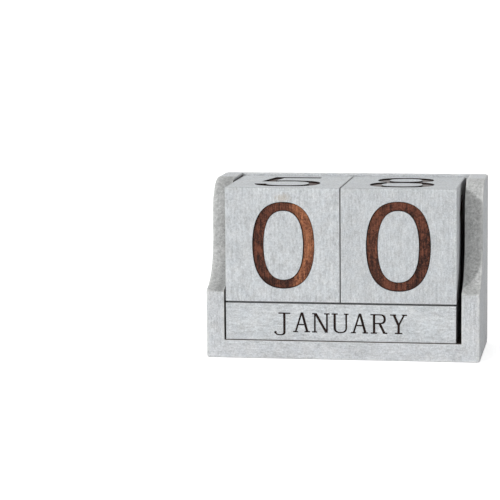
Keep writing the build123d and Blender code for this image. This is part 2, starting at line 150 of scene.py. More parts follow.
class BlockSettings(bpy.types.PropertyGroup):
    """The date cubes and the month bars: solid blocks with cut and burnt figures."""

    edge_round: FloatProperty(
        name="Edge Round", description="Smallest rounding of the edges of cubes and bars",
        default=0.26 * MM, unit="LENGTH", precision=5)
    wear: FloatProperty(
        name="Wear", description="How much more the edges are rounded where they are worn",
        default=0.5, min=0, max=2)
    wear_length: FloatProperty(
        name="Wear Length", description="Distance from one worn spot to the next",
        default=7.0 * MM, unit="LENGTH", precision=5)
    # the edges are painted lighter, partly as rubbed paint and partly as painted highlight
    rub_and_highlight: FloatProperty(
        name="Rub And Highlight", description="How much lighter the paint is along the edges", default=0.3,
        min=0, max=2)
    bar_drop: FloatProperty(
        name="Bar Drop", description="How far the front bar's top lies below the cubes",
        default=0.25 * MM, unit="LENGTH", precision=5)
    skin: FloatProperty(
        name="Skin", description="How far the blocks stay inside the model's own faces",
        default=0.02 * MM, unit="LENGTH", precision=6)
    cube_cells: IntProperty(
        name="Cube Cells", description="Mesh cells along each edge of a cube", default=48, min=8)
    bar_cells: IntProperty(
        name="Bar Cells", description="Mesh cells along a bar", default=72, min=8)
    bar_side_cells: IntProperty(
        name="Bar Side Cells", description="Mesh cells across a bar", default=24, min=8)
    paint: FloatVectorProperty(
        name="Paint", description="Colour of the paint on cubes and bars", subtype="COLOR", size=3,
        default=srgb(206, 209, 211))
    dulled: FloatProperty(
        name="Dulled", description="How much of the paint's lightness the units cube keeps",
        default=0.96, min=0, max=1)
    # dark burnt colour of the letters and of the numerals' rims; on the rims it is also painted
    # shade of the groove walls
    char: FloatVectorProperty(
        name="Char And Shade", description="Colour of the charred and shaded rims and letters", subtype="COLOR", size=3,
        default=srgb(24, 12, 9))
    burn_dark: FloatVectorProperty(
        name="Dark Burn", description="Darkest streaks of the burnt wood", subtype="COLOR", size=3,
        default=srgb(49, 29, 24))
    burn: FloatVectorProperty(
        name="Burn", description="Middle tone of the burnt wood", subtype="COLOR", size=3,
        default=srgb(120, 72, 55))
    burn_light: FloatVectorProperty(
        name="Light Burn", description="Where the heat coloured the wood least", subtype="COLOR",
        size=3, default=srgb(178, 116, 82))
    soot_dark: FloatVectorProperty(
        name="Dark Soot", description="Colour of the tens cube's upper figure", subtype="COLOR",
        size=3, default=srgb(36, 22, 20))
    soot: FloatVectorProperty(
        name="Soot", description="Colour of the units cube's upper figure", subtype="COLOR",
        size=3, default=srgb(136, 132, 131))
    # the dark rim inside a numeral is partly burn and partly painted shade of the groove's walls
    rim: FloatProperty(
        name="Charred And Shaded Rim", description="Width of the dark rim inside a numeral",
        default=0.8 * MM, unit="LENGTH", precision=5)


class NailSettings(bpy.types.PropertyGroup):
    """The pin nails through the mitres and the back panel."""

    head_radius: FloatProperty(
        name="Head Radius", description="Radius of a nail head", default=1.1 * MM,
        unit="LENGTH", precision=5)
    head_height: FloatProperty(
        name="Head Height", description="Thickness of a nail head", default=0.7 * MM,
        unit="LENGTH", precision=5)
    shank_radius: FloatProperty(
        name="Shank Radius", description="Radius of a nail below its head", default=0.6 * MM,
        unit="LENGTH", precision=5)
    sink: FloatProperty(
        name="Sink", description="How far the heads lie below the wood's surface",
        default=0.3 * MM, unit="LENGTH", precision=5)
    steel: FloatVectorProperty(
        name="Steel", description="Colour of the nail heads under the thin paint",
        subtype="COLOR", size=3, default=srgb(150, 150, 148))


class StageSettings(bpy.types.PropertyGroup):
    """The pale floor, the studio light and the camera."""

    sky_level: FloatProperty(
        name="Sky Level", description="Strength of the even light from all round", default=0.16)
    key_level: FloatProperty(
        name="Key Level", description="Light from the reader's left", default=0.46)
    key_azimuth: FloatProperty(
        name="Key Azimuth", description="How far to the reader's left that lamp stands",
        default=math.radians(34.5), subtype="ANGLE")
    key_elevation: FloatProperty(
        name="Key Elevation", description="Height of that lamp above the horizon",
        default=math.radians(22.5), subtype="ANGLE")
    front_level: FloatProperty(
        name="Front Level", description="Light from the reader", default=0.16)
    side_level: FloatProperty(
        name="Side Level", description="Light from the right, a little behind", default=0.15)
    top_level: FloatProperty(
        name="Top Level", description="Light from above", default=0.22)
    back_level: FloatProperty(
        name="Back Level", description="Light from behind", default=0.22)
    floor_size: FloatProperty(
        name="Floor Size", description="Side of the square floor", default=60.0, unit="LENGTH")
    floor_paint: FloatVectorProperty(
        name="Floor", description="Colour of the floor", subtype="COLOR", size=3,
        default=(0.8, 0.8, 0.8))
    floor_lift: FloatProperty(
        name="Floor Lift", description="Light added to the floor for the camera alone",
        default=0.62)
    camera_place: FloatVectorProperty(
        name="Camera Place", description="Where the camera stands", size=3, unit="LENGTH",
        default=(0.13236, -1.09206, 0.19765))
    camera_yaw: FloatProperty(
        name="Camera Yaw", description="Turn of the camera to the reader's left",
        default=math.radians(9.416), subtype="ANGLE")
    camera_pitch: FloatProperty(
        name="Camera Pitch", description="Tilt of the camera below the horizon",
        default=math.radians(7.692), subtype="ANGLE")
    camera_roll: FloatProperty(
        name="Camera Roll", description="Turn of the camera about its own axis",
        default=math.radians(-0.5), subtype="ANGLE")
    camera_lens: FloatProperty(
        name="Camera Lens", description="Focal length in millimetres on a 36 mm sensor",
        default=164.68)


# ---------------------------------------------------------------------------------------------
# Node trees written as expressions
# ---------------------------------------------------------------------------------------------


def plug(socket, value):
    """Give a socket a field, a list of fields or a plain value."""
    if isinstance(value, list):
        for item in value:
            plug(socket, item)
    elif isinstance(value, Field):
        socket.id_data.links.new(value.socket, socket)
    elif socket.type == "VECTOR" and isinstance(value, (int, float)):
        socket.default_value = (value, value, value)
    elif socket.type == "RGBA" and len(value) == 3:
        socket.default_value = (*value, 1.0)
    else:
        socket.default_value = value


def is_vector(value):
    """Whether a field or a plain value has several parts."""
    if isinstance(value, Field):
        return value.socket.type in {"VECTOR", "RGBA"}
    return not isinstance(value, (int, float))


def combined(operation, *values):
    """Combine fields and plain values by a Math node, or a Vector Math node if one is a vector."""
    graph = next(value for value in values if isinstance(value, Field)).graph
    vector = any(is_vector(value) for value in values)
    kind = "ShaderNodeVectorMath" if vector else "ShaderNodeMath"
    return graph.add(kind, {"operation": operation}, dict(enumerate(values)))


class Field:
    """A node's output that takes part in Python arithmetic, as a number or as a vector."""

    def __init__(self, socket):
        self.socket = socket
        self.graph = Graph(socket.id_data)

    def __add__(self, other):
        return combined("ADD", self, other)

    def __radd__(self, other):
        return combined("ADD", other, self)

    def __sub__(self, other):
        return combined("SUBTRACT", self, other)

    def __rsub__(self, other):
        return combined("SUBTRACT", other, self)

    def __mul__(self, other):
        return combined("MULTIPLY", self, other)

    def __rmul__(self, other):
        return combined("MULTIPLY", other, self)

    def __truediv__(self, other):
        return combined("DIVIDE", self, other)

    def __neg__(self):
        return self * -1

    def __abs__(self):
        return combined("ABSOLUTE", self)

    def least(self, other):
        """The smaller of two values, part by part."""
        return combined("MINIMUM", self, other)

    def most(self, other):
        """The larger of two values, part by part."""
        return combined("MAXIMUM", self, other)

    def direction(self):
        """A vector of the same direction and a length of 1."""
        return combined("NORMALIZE", self)

    def length(self):
        """The length of a vector."""
        return self.graph.add("ShaderNodeVectorMath", {"operation": "LENGTH"}, {0: self}, "Value")

    def part(self, axis):
        """One number of a vector."""
        return self.graph.add("ShaderNodeSeparateXYZ", {}, {0: self}, axis)

    def ease(self, low, high):
        """0 at the low value, 1 at the high one and a smooth rise between them."""
        return self.graph.add(
            "ShaderNodeMapRange", {"interpolation_type": "SMOOTHSTEP"},
            {"Value": self, "From Min": low, "From Max": high})


class Graph:
    """A shader or geometry tree under construction."""

    def __init__(self, tree):
        self.tree = tree

    def node(self, kind, settings=None, inputs=None):
        """Make a node of any kind. Its settings come first, then its sockets by name or number."""
        node = self.tree.nodes.new(kind)
        for name, value in (settings or {}).items():
            setattr(node, name, value)
        for name, value in (inputs or {}).items():
            plug(node.inputs[name], value)
        return node

    def add(self, kind, settings=None, inputs=None, out=0):
        """Make a node of any kind, and take one of its outputs."""
        return Field(self.node(kind, settings, inputs).outputs[out])

    def object_place(self):
        """Places in millimetres."""
        return self.add("ShaderNodeTexCoord", out="Object") * (1 / MM)

    def attribute(self, name):
        """A number that the mesh carries."""
        return self.add("ShaderNodeAttribute", {"attribute_name": name}, out="Fac")

    def noise(self, place, scale, detail=3.0, roughness=0.55):
        """Noise from 0 to 1 about a mean of a half, on places in millimetres."""
        sizes = {"Vector": place, "Scale": scale, "Detail": detail, "Roughness": roughness}
        return self.add("ShaderNodeTexNoise", {"noise_dimensions": "3D"}, sizes, "Fac")

    def mix(self, share, first, second):
        """Blend two colours by a share. Sockets 6 and 7 of a Mix node are its colours."""
        inputs = {0: share, 6: first, 7: second}
        return self.add("ShaderNodeMix", {"data_type": "RGBA"}, inputs, 2)

    def in_view(self):
        """1 for the rays that show a thing, straight or by way of metal and glass, and else 0."""
        rays = self.node("ShaderNodeLightPath").outputs
        camera, glossy, through = (
            Field(rays[f"Is {kind} Ray"]) for kind in ("Camera", "Glossy", "Transmission"))
        return camera.most(glossy).most(through)


def new_material(name):
    """An empty material and the graph of its tree."""
    material = bpy.data.materials.new(name)
    material.use_nodes = True
    material.node_tree.nodes.clear()
    return material, Graph(material.node_tree)


def finish_material(graph, inputs, bump=None):
    """End a material in a Principled shader, with a bump height in millimetres if it has one."""
    if bump is not None:
        inputs["Normal"] = graph.add("ShaderNodeBump", {}, {"Height": bump * MM, "Distance": 1.0})
    shader = graph.add("ShaderNodeBsdfPrincipled", {}, inputs)
    graph.node("ShaderNodeOutputMaterial", {}, {"Surface": shader})


def new_geometry(name, inputs):
    """A geometry tree with the given inputs, its graph and those inputs as fields.

    The inputs are grouped by kind, such as Float or Vector, and the points come first.
    """
    tree = bpy.data.node_groups.new(name, "GeometryNodeTree")
    tree.interface.new_socket("Geometry", in_out="OUTPUT", socket_type="NodeSocketGeometry")
    for kind, labels in {"Geometry": ("Geometry",), **inputs}.items():
        for label in labels:
            tree.interface.new_socket(label, in_out="INPUT", socket_type="NodeSocket" + kind)
    graph = Graph(tree)
    start = graph.node("NodeGroupInput")
    return tree, graph, {socket.name: Field(socket) for socket in start.outputs if socket.name}


def end_geometry(graph, geometry, material):
    """End a geometry tree in real faces of one material."""
    real = graph.add("GeometryNodeRealizeInstances", {}, {"Geometry": geometry})
    done = graph.add("GeometryNodeSetMaterial", {}, {"Geometry": real, "Material": material})
    graph.node("NodeGroupOutput", {}, {"Geometry": done})


# ---------------------------------------------------------------------------------------------
# Pieces
# ---------------------------------------------------------------------------------------------

SHARP_ANGLE = math.radians(32)  # edges that turn by more stay crisp


def new_object(name, data):
    """A new object in the scene, with the given mesh, lamp or camera data."""
    thing = bpy.data.objects.new(name, data)
    bpy.context.scene.collection.objects.link(thing)
    return thing


def baked(thing):
    """The plain mesh that an object's modifiers make of it. The object goes."""
    depsgraph = bpy.context.evaluated_depsgraph_get()
    mesh = bpy.data.meshes.new_from_object(
        thing.evaluated_get(depsgraph), preserve_all_data_layers=True, depsgraph=depsgraph)
    thing.modifiers.clear()
    bpy.data.objects.remove(thing)
    return mesh


def grown(tree, values, seed_mesh=None):
    """The plain mesh that a geometry tree makes, with its inputs given by name."""
    maker = new_object("maker", seed_mesh or bpy.data.meshes.new("seed"))
    modifier = maker.modifiers.new(tree.name, "NODES")
    modifier.node_group = tree
    for item in tree.interface.items_tree:
        if item.in_out == "INPUT" and item.name in values:
            modifier[item.identifier] = values[item.name]
    return baked(maker)


def cut(mesh, operation, tool_mesh):
    """A mesh with another one taken from it, or kept only where both are."""
    body = new_object("body", mesh)
    tool = new_object("tool", tool_mesh)
    modifier = body.modifiers.new("cut", "BOOLEAN")
    modifier.operation = operation
    modifier.solver = "EXACT"
    modifier.object = tool
    result = baked(body)
    bpy.data.objects.remove(tool)
    return result


def merged(node):
    """The shape of a node of the model, with its loose triangles joined."""
    bm = bmesh.new()
    bm.from_mesh(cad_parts[node].data)
    bmesh.ops.remove_doubles(bm, verts=bm.verts, dist=MERGE)
    return bm


def dress(mesh, *materials):
    """Give a mesh its materials. Each of its faces takes the last one."""
    mesh.materials.clear()
    for material in materials:
        mesh.materials.append(material)
    for polygon in mesh.polygons:
        polygon.material_index = len(materials) - 1
    return mesh


def finish_piece(name, mesh, body, node):
    """Show a mesh as a piece that moves with a body and stands for a node of the model."""
    mesh.name = name
    mesh.shade_smooth()
    mesh.set_sharp_from_angle(angle=SHARP_ANGLE)
    piece = new_object(name, mesh)
    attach(piece, body)
    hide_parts(node)


# ---------------------------------------------------------------------------------------------
# Finishes
# ---------------------------------------------------------------------------------------------

AXES = {"X": Vector((1, 0, 0)), "Y": Vector((0, 1, 0)), "Z": Vector((0, 0, 1))}
FIBRE_STRETCH = 0.07  # how fast the fibres vary along a piece, as a share of across it
BURNT_STRETCH = 0.12  # the same for burnt wood
BRUSH_STRETCH = 0.3  # the same for the marks of the brush
RUBBED_HIGHLIGHT = srgb(229, 230, 228)  # paint on rubbed edges, partly painted highlight
SCORCHED = srgb(176, 152, 112)  # paint beside a figure that the iron has browned
SEAM_SHADE = srgb(30, 28, 28)  # painted shade in the seams between two pieces
NAIL_FILM = srgb(196, 197, 197)  # paint over the nail heads
CHAR_AND_SHADE = 0.92  # how far the rims of the figures turn dark, as burn and painted shade

# seeds of the patterns; like pieces take the next ones
BOARD_SEED, NAIL_SEED, CUBE_SEED, NAME_SEED, BAR_SEED = 1, 3, 11, 21, 22


def stretched(place, grain, stretch):
    """Places drawn together along the grain, so that what varies over them runs along it."""
    return place * tuple(Vector((1, 1, 1)) - AXES[grain] * (1 - stretch))


def seeded_place(graph, seed):
    """Places in millimetres, shifted so that no two pieces look alike."""
    return graph.object_place() + tuple(Vector((17.3, 41.9, 29.6)) * seed)


class BrushedPaint:
    """Thin chalky paint brushed along the grain, under construction.

    All places are in millimetres. The patterns lie about 0, but for pores and strokes, which are
    marks from 0 to 1.
    """

    def __init__(self, name, grain, seed):
        self.material, self.graph = new_material(name)
        noise_at = self.graph.noise
        self.place = seeded_place(self.graph, seed)
        self.plain_place = self.graph.object_place()
        fibres = stretched(self.place, grain, FIBRE_STRETCH)
        bristles = stretched(self.place, grain, BRUSH_STRETCH)
        self.streak = noise_at(fibres, 1.0, 5, 0.75) - 0.5
        self.brush = noise_at(bristles, 1.1, 5, 0.8) - 0.5
        self.speck = noise_at(self.place + 12.0, 1.3, 3, 0.9) - 0.5
        self.cloud = noise_at(self.place, 0.12, 3, 0.55) - 0.5
        self.rough = noise_at(self.place + 55.0, 0.75, 5, 0.85) - 0.5
        self.pore = noise_at(fibres + 7.0, 2.0, 3, 0.65).ease(0.57, 0.72)
        self.stroke = noise_at(bristles + 31.0, 0.9, 4, 0.7).ease(0.56, 0.7)
        self.sawn = self.graph.attribute("sawn")
        self.edge = self.graph.attribute("edge")
        self.surface = None

    def coat(self, colour, sawn_colour, rub_and_highlight=1.0, painted_shade_by_cube=None):
        """Paint the faces and the sawn edges. The edge lightening is how much lighter the edges are,
        partly rubbed paint and partly painted highlight.

        The painted shade by the cube gives the range along X over which a sawn edge is painted
        darker, as shade, and by how much.
        """
        mix = self.graph.mix
        tone = 1 + self.streak * 0.5 + self.brush * 1.1 + self.speck * 1.2 + self.cloud * 0.3
        tone = tone + self.stroke * 0.1 - self.pore * 0.12
        drift = self.graph.noise(self.place + 90.0, 0.22, 2, 0.5)
        face = mix(drift, (1.02, 1.0, 0.98), (0.97, 1.0, 1.03)) * tone * colour
        sawn_face = (1 + self.rough * 2.6 + self.cloud * 0.4) * sawn_colour
        # painted shade: the sawn edge darkens over a range along X
        if painted_shade_by_cube:
            start, end, amount = painted_shade_by_cube
            sawn_face = sawn_face * (1 - self.plain_place.part("X").ease(start, end) * amount)
        # partly rubbed paint, partly painted highlight along the edges
        dabs = self.graph.noise(self.place, 0.3, 3, 0.6).ease(0.35, 0.65)
        broad = self.edge.ease(0.0, 1.0) * (0.12 + dabs * 0.3)
        narrow = self.edge.ease(0.75, 1.0) * dabs * 0.3
        self.surface = mix((broad + narrow) * rub_and_highlight, mix(self.sawn, face, sawn_face), RUBBED_HIGHLIGHT)

    def scorch(self, spot):
        """Brown the paint round a spot, as a burning iron does."""
        away = ((self.plain_place - spot) * (0.6, 1.0, 1.0)).length() + self.brush * 6.0
        self.surface = self.graph.mix(away.ease(3.0, 0.5) * 0.3, self.surface, SCORCHED)

    def line_seams_with_shade(self, seams):
        """Darken edges that meet another piece with painted shade, as in the gaps between them.

        Each seam has its axis, its place along it, and the width and strength of its line.
        """
        # painted shade: each seam's edge is darkened as a narrow gap in shade would be
        for axis, level, reach, amount in seams:
            near = abs(self.plain_place.part(axis) - level).ease(reach + 0.2, reach)
            seam_shade = near * self.edge.ease(0.5, 0.85) * (0.85 + self.brush) * amount
            self.surface = self.graph.mix(seam_shade, self.surface, SEAM_SHADE)

    def leave_bare_as_shade(self, colour, ranges):
        """Let dark unpainted wood show past the ends of all the given ranges along the axes, which
        also paints the shade inside the tray.
        """
        share = 1 + self.streak * 0.3
        for axis, start, end in ranges:
            share = share * self.plain_place.part(axis).ease(start, end)
        wood = (1 + self.streak + self.speck) * colour
        self.surface = self.graph.mix(share, self.surface, wood)

    def finished(self):
        """The material, with its gloss and its relief."""
        inputs = {
            "Base Color": self.surface,
            "Roughness": 0.74 + self.streak * 0.3,
            "Specular IOR Level": 0.3,
        }
        relief = self.streak * 0.10 + self.brush * 0.05 - self.pore * 0.03
        finish_material(self.graph, inputs, relief + self.rough * self.sawn * 0.12)
        return self.material


def burnt_material(name, seed, blocks, golden=None, sooty=None):
    """Wood browned by heat, in streaks along Z, nearly black along its rims, which are burnt and
    also painted shade.

    Golden gives the places, in millimetres, between which the wood of the front face turns golden
    from left to right, the level behind which it doesn't, and how strong it is. Sooty is the
    height above which the cut figures are blackened, and the colour they take. The upright figures
    are a little less burnt near their tops, below that height.
    """
    material, graph = new_material(name)
    place = seeded_place(graph, seed)
    plain_place = graph.object_place()
    fibres = stretched(place, "Z", BURNT_STRETCH)
    streak = graph.noise(fibres, 0.7, 5, 0.8)
    line = graph.noise(fibres + 13.0, 1.7, 4, 0.8)
    fleck = graph.noise(place, 1.0, 4, 0.85)
    patch = graph.noise(place + 41.0, 0.16, 3, 0.6) - 0.5
    mottle = streak * 0.5 + fleck * 0.5 + patch * 0.4
    if sooty:
        height, soot = sooty
        mottle = mottle + plain_place.part("Z").ease(height - 16.0, height - 9.0) * 0.045
    wood = graph.mix(mottle.ease(0.4, 0.6), blocks.burn_dark, blocks.burn)
    if golden:
        start, end, behind, strength = golden
        light = graph.mix(mottle.ease(0.4, 0.56), blocks.burn, blocks.burn_light)
        share = (plain_place.part("X") + patch * 12.0).ease(start, end) * strength
        in_front = plain_place.part("Y").ease(behind + 0.5, behind)
        wood = graph.mix(share * in_front, wood, light)
    if sooty:
        above = plain_place.part("Z").ease(height - 0.5, height) * (0.6 + streak * 0.5)
        wood = graph.mix(above, wood, soot)
    pores = 0.45 + line.ease(0.38, 0.58) * 0.6 + (fleck - 0.5) * 1.6
    # painted shade: the walls and rims of the figures turn near black
    rim = (graph.attribute("char") + (fleck - 0.5) * 1.2).ease(0.15, 0.9) * CHAR_AND_SHADE
    inputs = {
        "Base Color": graph.mix(rim, wood * pores, blocks.char),
        "Roughness": 0.6 + (line - 0.5) * 0.4,
        "Specular IOR Level": 0.15,
    }
    finish_material(graph, inputs, streak * 0.12 + line * 0.08)
    return material


def nail_material(steel):
    """Dull steel under a thin film of paint."""
    material, graph = new_material("nail_steel")
    film = graph.noise(seeded_place(graph, NAIL_SEED), 1.8, 3, 0.6)
    inputs = {
        "Base Color": graph.mix(film.ease(0.45, 0.6), steel, NAIL_FILM),
        "Metallic": 1 - film.ease(0.42, 0.55),
        "Roughness": 0.5 + film * 0.3,
    }
    finish_material(graph, inputs, film * 0.03)
    return material


# ---------------------------------------------------------------------------------------------
# Boards with worn arrises
# ---------------------------------------------------------------------------------------------

ARRIS_STEPS = 5  # rings of faces round an arris
EDGE_ZONE = 2.0 * MM  # width of the strip beside an arris where the paint is rubbed and painted lighter as highlight
CAP_RIM = 0.25 * MM  # the same on a board's flat faces, inside their corners' rounding
RUN_STEP = 1.2 * MM  # spacing of the points along a straight edge
ARC_STEP = math.radians(6)  # the same along an arc
STEP_NOSE = 0.9 * MM  # rounding of the profile's corner at the top of the low front
MITRE_GAP = 0.015 * MM  # how far a side is drawn back from its mitre
WEAR_SPAN = 9 * MM  # distance from one worn stretch of a board's edge to the next
CHIP_SPAN = 2.5 * MM  # the same for its small dents
AT_BACK = 0.3 * MM  # points of a side's outline that are this near its back lie on it
AT_FACE = 0.1 * MM  # points that are this near a level lie on it


def run(start, end):
    """Points along a straight edge, without its end."""
    start, end = Vector(start), Vector(end)
    count = max(1, round((end - start).length / RUN_STEP))
    return [start.lerp(end, step / count) for step in range(count)]


def arc(centre, radius, start, end):
    """Points along an arc between two angles in degrees, without its end."""
    centre = Vector(centre)
    turn = math.radians(end - start)
    count = max(2, math.ceil(abs(turn) / ARC_STEP), math.ceil(abs(turn) * radius / RUN_STEP))
    angles = [math.radians(start) + turn * step / count for step in range(count)]
    return [centre + radius * Vector((math.cos(angle), math.sin(angle))) for angle in angles]


def slab(outline, near, far, place, arris, sawn=None):
    """A board with a given outline, and arrises rounded by a radius that depends on the place.

    The outline runs anticlockwise, as seen from the far side. A point of the board is
    place(point, depth), and arris(point, at_far) gives the radius.
    """
    bm = bmesh.new()
    edge_layer = bm.verts.layers.float.new("edge")
    sawn_layer = bm.verts.layers.float.new("sawn")
    count = len(outline)
    outward = []
    for i in range(count):
        along = outline[(i + 1) % count] - outline[i - 1]
        outward.append(Vector((along.y, -along.x)).normalized())

    def ring(at_far, turn, inward=0.0, deeper=0.0):
        """One ring of points: a turn of 0 lies on the flat face and of a quarter on the edge."""
        points = []
        for point, normal in zip(outline, outward):
            radius = arris(point, at_far)
            inset = radius * (1 - math.sin(turn)) + inward
            depth = radius * (1 - math.cos(turn)) + deeper
            spot = point - normal * inset
            vert = bm.verts.new(place(spot, far - depth if at_far else near + depth))
            vert[edge_layer] = 1 - inward / CAP_RIM - deeper / EDGE_ZONE
            vert[sawn_layer] = sawn(point) * math.sin(turn) ** 2 if sawn else 0.0
            points.append(vert)
        return points

    quarter = math.pi / 2
    turns = [quarter * step / ARRIS_STEPS for step in range(ARRIS_STEPS + 1)]
    rings = [ring(False, 0, inward=CAP_RIM)] + [ring(False, turn) for turn in turns]
    if far - near > 3 * EDGE_ZONE:
        rings += [ring(False, quarter, deeper=EDGE_ZONE), ring(True, quarter, deeper=EDGE_ZONE)]
    rings += [ring(True, turn) for turn in reversed(turns)] + [ring(True, 0, inward=CAP_RIM)]
    for first, second in zip(rings, rings[1:]):
        for i in range(count):
            j = (i + 1) % count
            bm.faces.new((first[i], first[j], second[j], second[i]))
    bm.faces.new(rings[0])
    bm.faces.new(rings[-1])
    bmesh.ops.recalc_face_normals(bm, faces=bm.faces)
    return bm


def worn(wear, seed):
    """A function that varies a radius along an edge, by a share of it."""
    def vary(radius, point):
        """A radius as it is at a point."""
        spot = Vector((point.x, point.y, seed * MM))
        share = noise.noise(spot / WEAR_SPAN) + 0.4 * noise.noise(spot / CHIP_SPAN)
        return radius * (1 + wear * share)
    return vary


def trim(bm, point, normal):
    """Take away what lies beyond a plane, and close the cut."""
    geometry = bm.verts[:] + bm.edges[:] + bm.faces[:]
    bmesh.ops.bisect_plane(
        bm, geom=geometry, dist=ON_PLANE, plane_co=point, plane_no=normal, clear_outer=True)
    open_edges = [edge for edge in bm.edges if edge.is_boundary]
    bmesh.ops.holes_fill(bm, edges=open_edges, sides=0)
    bmesh.ops.recalc_face_normals(bm, faces=bm.faces)


def to_mesh(bm, name):
    """The mesh of a finished shape."""
    mesh = bpy.data.meshes.new(name)
    bm.to_mesh(mesh)
    bm.free()
    return mesh


def frame_sizes():
    """The tray's corners, a board's thickness and the place of the back panel's front face."""
    low, high = CAD_BOX
    inner_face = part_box("left_side")[1].x
    panel_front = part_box("back_panel")[0].y
    return low, high, inner_face - low.x, panel_front


def side_mesh(tray, seed):
    """The left side, up to its mitre."""
    low, high, board, panel_front = frame_sizes()
    recess_y = low.y + tray.recess
    cove_drop = math.sqrt(tray.cove_radius**2 - (tray.cove_radius - tray.recess) ** 2)
    cove_top = tray.step_height + cove_drop
    cove_turn = math.degrees(math.asin(cove_drop / tray.cove_radius))
    crown_bottom = high.z - tray.crown_radius
    crown_y = recess_y + tray.crown_radius
    corner = tray.corner_round
    nose = STEP_NOSE
    outline = arc((low.y + corner, corner), corner, 180, 270)
    outline += run((low.y + corner, 0), (panel_front, 0))
    outline += run((panel_front, 0), (panel_front, high.z))
    outline += run((panel_front, high.z), (crown_y, high.z))
    outline += arc((crown_y, crown_bottom), tray.crown_radius, 90, 180)
    outline += run((recess_y, crown_bottom), (recess_y, cove_top))
    outline += arc((recess_y - tray.cove_radius, cove_top), tray.cove_radius, 0, -cove_turn)[:-1]
    outline += arc((low.y + nose, tray.step_height - nose), nose, 100, 180)
    outline += run((low.y, tray.step_height - nose), (low.y, corner))
    vary = worn(tray.wear, seed)

    def arris(point, at_inner):
        """The rounding at a point of the outline, on the inner or the outer face."""
        if point.x > panel_front - AT_BACK:
            return tray.seam_round
        if at_inner:
            return vary(tray.arris_round * 0.8, point)
        on_profile = point.y > tray.step_height and point.x < crown_y
        return vary(tray.arris_round if on_profile else tray.outer_round, point)

    def shaped(point):
        """1 where the edge was sawn to shape, and else 0."""
        return float(point.x < crown_y + 2 * MM and point.y > tray.step_height - nose)

    def place(point, depth):
        """The outline runs along Y and Z, and the depth along X."""
        return Vector((depth, point.x, point.y))

    bm = slab(outline, low.x, low.x + board, place, arris, shaped)
    gap = Vector((-1, 0, 1)) * MITRE_GAP
    trim(bm, Vector((low.x, 0, 0)) + gap, Vector((1, 0, -1)).normalized())
    return bm


def base_mesh(tray, seed):
    """The base board, with a mitre at each end."""
    low, high, board, panel_front = frame_sizes()
    corner = tray.corner_round
    left, right = low.x + corner, high.x - corner
    outline = arc((left, corner), corner, 180, 270)
    outline += run((left, 0), (right, 0))
    outline += arc((right, corner), corner, 270, 360)
    outline += run((high.x, corner), (high.x, board))
    outline += run((high.x, board), (low.x, board))
    outline += run((low.x, board), (low.x, corner))
    vary = worn(tray.wear, seed)

    def arris(point, at_back):
        """The rounding at a point of the outline, on the back or the front face."""
        if at_back:
            return tray.seam_round
        at_top = point.y > board - AT_FACE
        return vary(tray.arris_round * 0.6 if at_top else tray.outer_round, point)

    def place(point, depth):
        """The outline runs along X and Z, and the depth along Y."""
        return Vector((point.x, depth, point.y))

    bm = slab(outline, low.y, panel_front, place, arris)
    for side in (low.x, high.x):
        way = Vector((math.copysign(1, side), 0, 1)).normalized()
        trim(bm, Vector((side, 0, 0)), way)
    return bm


def panel_mesh(tray, seed):
    """The back panel, behind the sides and the base. Its foot stays clear of the desk."""
    low, high, board, panel_front = frame_sizes()
    corner = tray.corner_round
    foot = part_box("back_panel")[0].z
    left, right, top = low.x + corner, high.x - corner, high.z - corner
    outline = arc((left, foot + corner), corner, 180, 270)
    outline += run((left, foot), (right, foot))
    outline += arc((right, foot + corner), corner, 270, 360)
    outline += run((high.x, foot + corner), (high.x, top))
    outline += arc((right, top), corner, 0, 90)
    outline += run((right, high.z), (left, high.z))
    outline += arc((left, top), corner, 90, 180)
    outline += run((low.x, top), (low.x, foot + corner))
    vary = worn(tray.wear, seed)

    def arris(point, at_back):
        """The rounding at a point of the outline, on the back or the front face."""
        if at_back:
            return vary(tray.outer_round, point)
        over_opening = point.y > high.z - AT_FACE and abs(point.x) < high.x - board
        return vary(tray.arris_round * 0.7, point) if over_opening else tray.seam_round

    def place(point, depth):
        """The outline runs along X and Z, and the depth along Y."""
        return Vector((point.x, depth, point.y))

    return slab(outline, panel_front, high.y, place, arris)


# ---------------------------------------------------------------------------------------------
# Pin nails
# ---------------------------------------------------------------------------------------------

NAIL_LENGTH = {"corner_brads": 15 * MM, "back_brads": 14 * MM}
HOLE_ROOM = 0.1 * MM  # how much wider and deeper a nail's hole is than its head


def nail_tree():
    """Nails at the points of a mesh, each pointing against the point's own direction."""
    tree, graph, given = new_geometry("pin_nails", {
        "Float": ("Head Radius", "Head Height", "Shank Radius", "Length", "Sink"),
        "Material": ("Material",),
    })

    def bolt(radius, height, top, segments):
        """A cylinder along Z whose upper end lies at the given level."""
        sizes = {"Vertices": segments, "Radius": radius, "Depth": height}
        solid = graph.add("GeometryNodeMeshCylinder", {}, sizes, "Mesh")
        level = graph.add("ShaderNodeCombineXYZ", {}, {"Z": top - height * 0.5})
        move = {"Geometry": solid, "Translation": level}
        return graph.add("GeometryNodeTransform", {}, move)

    head = bolt(given["Head Radius"], given["Head Height"], -given["Sink"], 24)
    shank_top = -given["Sink"] - given["Head Height"] * 0.5
    shank = bolt(given["Shank Radius"], given["Length"], shank_top, 12)
    nail = graph.add("GeometryNodeJoinGeometry", {}, {0: [head, shank]})
    facing = graph.add(
        "GeometryNodeInputNamedAttribute", {"data_type": "FLOAT_VECTOR"}, {"Name": "facing"})
    turn = graph.add("FunctionNodeAlignRotationToVector", {"axis": "Z"}, {"Vector": facing})
    placed = graph.add("GeometryNodeInstanceOnPoints", {}, {
        "Points": given["Geometry"], "Instance": nail, "Rotation": turn})
    end_geometry(graph, placed, given["Material"])
    return tree


